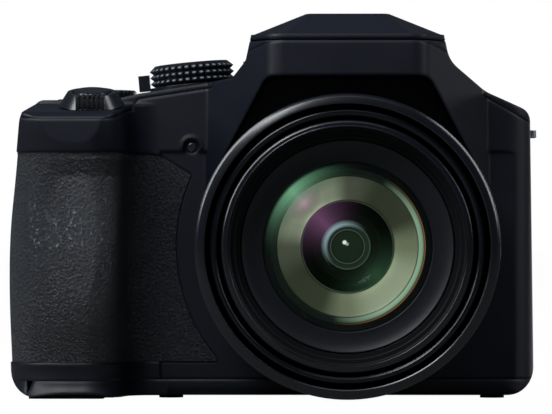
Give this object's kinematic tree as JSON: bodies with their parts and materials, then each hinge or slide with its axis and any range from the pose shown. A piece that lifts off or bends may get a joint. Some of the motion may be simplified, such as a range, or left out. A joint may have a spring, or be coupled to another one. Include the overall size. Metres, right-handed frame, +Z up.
{
  "type": "bridge camera",
  "caption": "Bridge camera with a deep hand grip, arched finder hump, telescoping zoom lens, studded mode dial, lift-up flash, rear screen and tripod socket.",
  "frame": {"origin": "centre of the tripod socket's mouth in the underside, straight below the lens axis", "axes": "+X along the body away from the grip, the lens looks along -Y, +Z up"},
  "size_m": [0.1309, 0.1192, 0.0953],
  "materials": {
    "grip_rubber": "fine pebbled matte moulding",
    "cover_black": "finely textured satin moulding",
    "lens_black": "satin black",
    "dial_black": "satin moulding",
    "soft_rubber": "matte",
    "inner_black": "dead matte",
    "inner_grey": "moulded",
    "coated_glass": "green anti-reflection coating",
    "clear_glass": "polished",
    "screen_glass": "polished, dark",
    "screen": "dark panel",
    "lamp": "tinted lamp lens",
    "flash_window": "ribbed diffuser",
    "steel": "turned",
    "chrome": "bright plated",
    "brass": "turned",
    "board": "lacquered circuit board",
    "sensor": "cover glass over silicon",
    "battery": "moulded case",
    "card": "moulded case"
  },
  "bodies": {
    "camera_body": {"front_cover": "cover_black", "top_cover": "cover_black", "rear_cover": "cover_black", "base_cover": "cover_black", "grip_rubber": "grip_rubber", "thumb_rest": "grip_rubber", "lens_outer_barrel": "cover_black", "lens_bezel": "lens_black", "sensor_board": "board", "image_sensor": "sensor", "zoom_motor": "steel", "main_board": "board", "flash_capacitor": "inner_black", "battery": "battery", "battery_case": "inner_grey", "door_pin": "steel", "memory_card": "card", "tripod_socket": "steel", "base_feet": "soft_rubber", "strap_lugs": "chrome", "af_lamp": "lamp", "lcd_window": "screen_glass", "lcd_module": "screen", "eyecup": "soft_rubber", "eyepiece_lens": "clear_glass", "evf_display": "screen", "port_sockets": "inner_grey", "flash_pin": "steel", "cover_screws": "steel"},
    "barrel_mid": {"barrel_mid": "lens_black"},
    "barrel_front": {"barrel_front": "lens_black", "name_ring": "lens_black", "front_lens": "coated_glass", "lens_baffle": "inner_black"},
    "cam_ring": {"cam_ring": "inner_grey"},
    "variator": {"variator_cell": "inner_black", "variator_lens": "coated_glass"},
    "focus_group": {"focus_cell": "inner_black", "focus_lens": "coated_glass"},
    "flash_head": {"flash_housing": "cover_black", "flash_window": "flash_window", "flash_tube": "clear_glass"},
    "shutter_button": {"shutter_button": "dial_black"},
    "zoom_lever": {"zoom_lever": "dial_black"},
    "mode_dial": {"mode_dial": "dial_black"},
    "power_lever": {"power_lever": "dial_black"},
    "record_button": {"record_button": "dial_black"},
    "drive_button": {"drive_button": "dial_black"},
    "rear_dial": {"rear_dial": "dial_black"},
    "flash_button": {"flash_button": "dial_black"},
    "diopter_dial": {"diopter_dial": "dial_black"},
    "lock_button": {"lock_button": "dial_black"},
    "playback_button": {"playback_button": "dial_black"},
    "display_button": {"display_button": "dial_black"},
    "delete_button": {"delete_button": "dial_black"},
    "menu_button": {"menu_button": "dial_black"},
    "cursor_pad": {"cursor_pad": "dial_black"},
    "battery_door": {"battery_door": "cover_black"},
    "door_lock": {"door_lock": "dial_black"},
    "port_door": {"port_door": "soft_rubber"}
  },
  "joints": [
    {"name": "zoom_mid", "type": "slide", "parent": "camera_body", "child": "barrel_mid", "axis": [0, -1, 0], "range_m": [0, 0.028]},
    {"name": "zoom_front", "type": "slide", "parent": "barrel_mid", "child": "barrel_front", "axis": [0, -1, 0], "range_m": [0, 0.028]},
    {"name": "cam_turn", "type": "hinge", "parent": "camera_body", "child": "cam_ring", "pos_m": [0, 0, 0.0368], "axis": [0, 1, 0], "range_deg": [0, 100.5]},
    {"name": "variator_slide", "type": "slide", "parent": "camera_body", "child": "variator", "axis": [0, -1, 0], "range_m": [0, 0.0071]},
    {"name": "focus_slide", "type": "slide", "parent": "camera_body", "child": "focus_group", "axis": [0, -1, 0], "range_m": [-0.003, 0.004]},
    {"name": "shutter_press", "type": "slide", "parent": "camera_body", "child": "shutter_button", "axis": [0, 0.225, -0.9744], "range_m": [0, 0.0005], "stiffness_N_per_m": 400},
    {"name": "zoom_lever_turn", "type": "hinge", "parent": "camera_body", "child": "zoom_lever", "pos_m": [-0.0627, -0.033, 0.0716], "axis": [0, -0.225, 0.9744], "range_deg": [-20, 20], "stiffness_Nm_per_rad": 0.05},
    {"name": "mode_dial_turn", "type": "hinge", "parent": "camera_body", "child": "mode_dial", "pos_m": [-0.0389, -0.003, 0.0774], "axis": [-0.0941, 0, 0.9956], "continuous": true},
    {"name": "power_turn", "type": "hinge", "parent": "camera_body", "child": "power_lever", "pos_m": [-0.0389, -0.003, 0.0774], "axis": [-0.0941, 0, 0.9956], "range_deg": [0, 30]},
    {"name": "rear_dial_turn", "type": "hinge", "parent": "camera_body", "child": "rear_dial", "pos_m": [-0.0605, 0.0118, 0.0731], "axis": [0, 0, 1], "continuous": true},
    {"name": "record_press", "type": "slide", "parent": "camera_body", "child": "record_button", "axis": [0, 0, -1], "range_m": [0, 0.0005], "stiffness_N_per_m": 400},
    {"name": "drive_press", "type": "slide", "parent": "camera_body", "child": "drive_button", "axis": [0, 0, -1], "range_m": [0, 0.0005], "stiffness_N_per_m": 400},
    {"name": "flash_press", "type": "slide", "parent": "camera_body", "child": "flash_button", "axis": [1, 0, 0], "range_m": [0, 0.0005], "stiffness_N_per_m": 400},
    {"name": "flash_lift", "type": "hinge", "parent": "camera_body", "child": "flash_head", "pos_m": [0, 0.006, 0.088], "axis": [-1, 0, 0], "range_deg": [0, 55]},
    {"name": "lock_press", "type": "slide", "parent": "camera_body", "child": "lock_button", "axis": [0, -1, 0], "range_m": [0, 0.0005], "stiffness_N_per_m": 400},
    {"name": "playback_press", "type": "slide", "parent": "camera_body", "child": "playback_button", "axis": [0, -1, 0], "range_m": [0, 0.0005], "stiffness_N_per_m": 400},
    {"name": "display_press", "type": "slide", "parent": "camera_body", "child": "display_button", "axis": [0, -1, 0], "range_m": [0, 0.0005], "stiffness_N_per_m": 400},
    {"name": "delete_press", "type": "slide", "parent": "camera_body", "child": "delete_button", "axis": [0, -1, 0], "range_m": [0, 0.0005], "stiffness_N_per_m": 400},
    {"name": "menu_press", "type": "slide", "parent": "camera_body", "child": "menu_button", "axis": [0, -1, 0], "range_m": [0, 0.0005], "stiffness_N_per_m": 400},
    {"name": "pad_tilt", "type": "hinge", "parent": "camera_body", "child": "cursor_pad", "pos_m": [-0.053, 0.0194, 0.03], "axis": [1, 0, 0], "range_deg": [-2.5, 2.5], "stiffness_Nm_per_rad": 0.3},
    {"name": "diopter_turn", "type": "hinge", "parent": "camera_body", "child": "diopter_dial", "pos_m": [0.0196, 0.0185, 0.0715], "axis": [1, 0, 0], "range_deg": [-150, 150]},
    {"name": "door_swing", "type": "hinge", "parent": "camera_body", "child": "battery_door", "pos_m": [-0.0576, 0, 0.0013], "axis": [0, -1, 0], "range_deg": [0, 95]},
    {"name": "door_lock_slide", "type": "slide", "parent": "battery_door", "child": "door_lock", "axis": [0, 1, 0], "range_m": [0, 0.002]},
    {"name": "port_swing", "type": "hinge", "parent": "camera_body", "child": "port_door", "pos_m": [0.0461, 0.009, 0.033], "axis": [0, 0, 1], "range_deg": [0, 100]}
  ],
  "couplings": [
    {"joint": "zoom_front", "follows": "zoom_mid", "ratio": 1},
    {"joint": "cam_turn", "follows": "zoom_mid", "rad_per_m": 62.3},
    {"joint": "variator_slide", "follows": "zoom_mid", "ratio": 0.25}
  ]
}
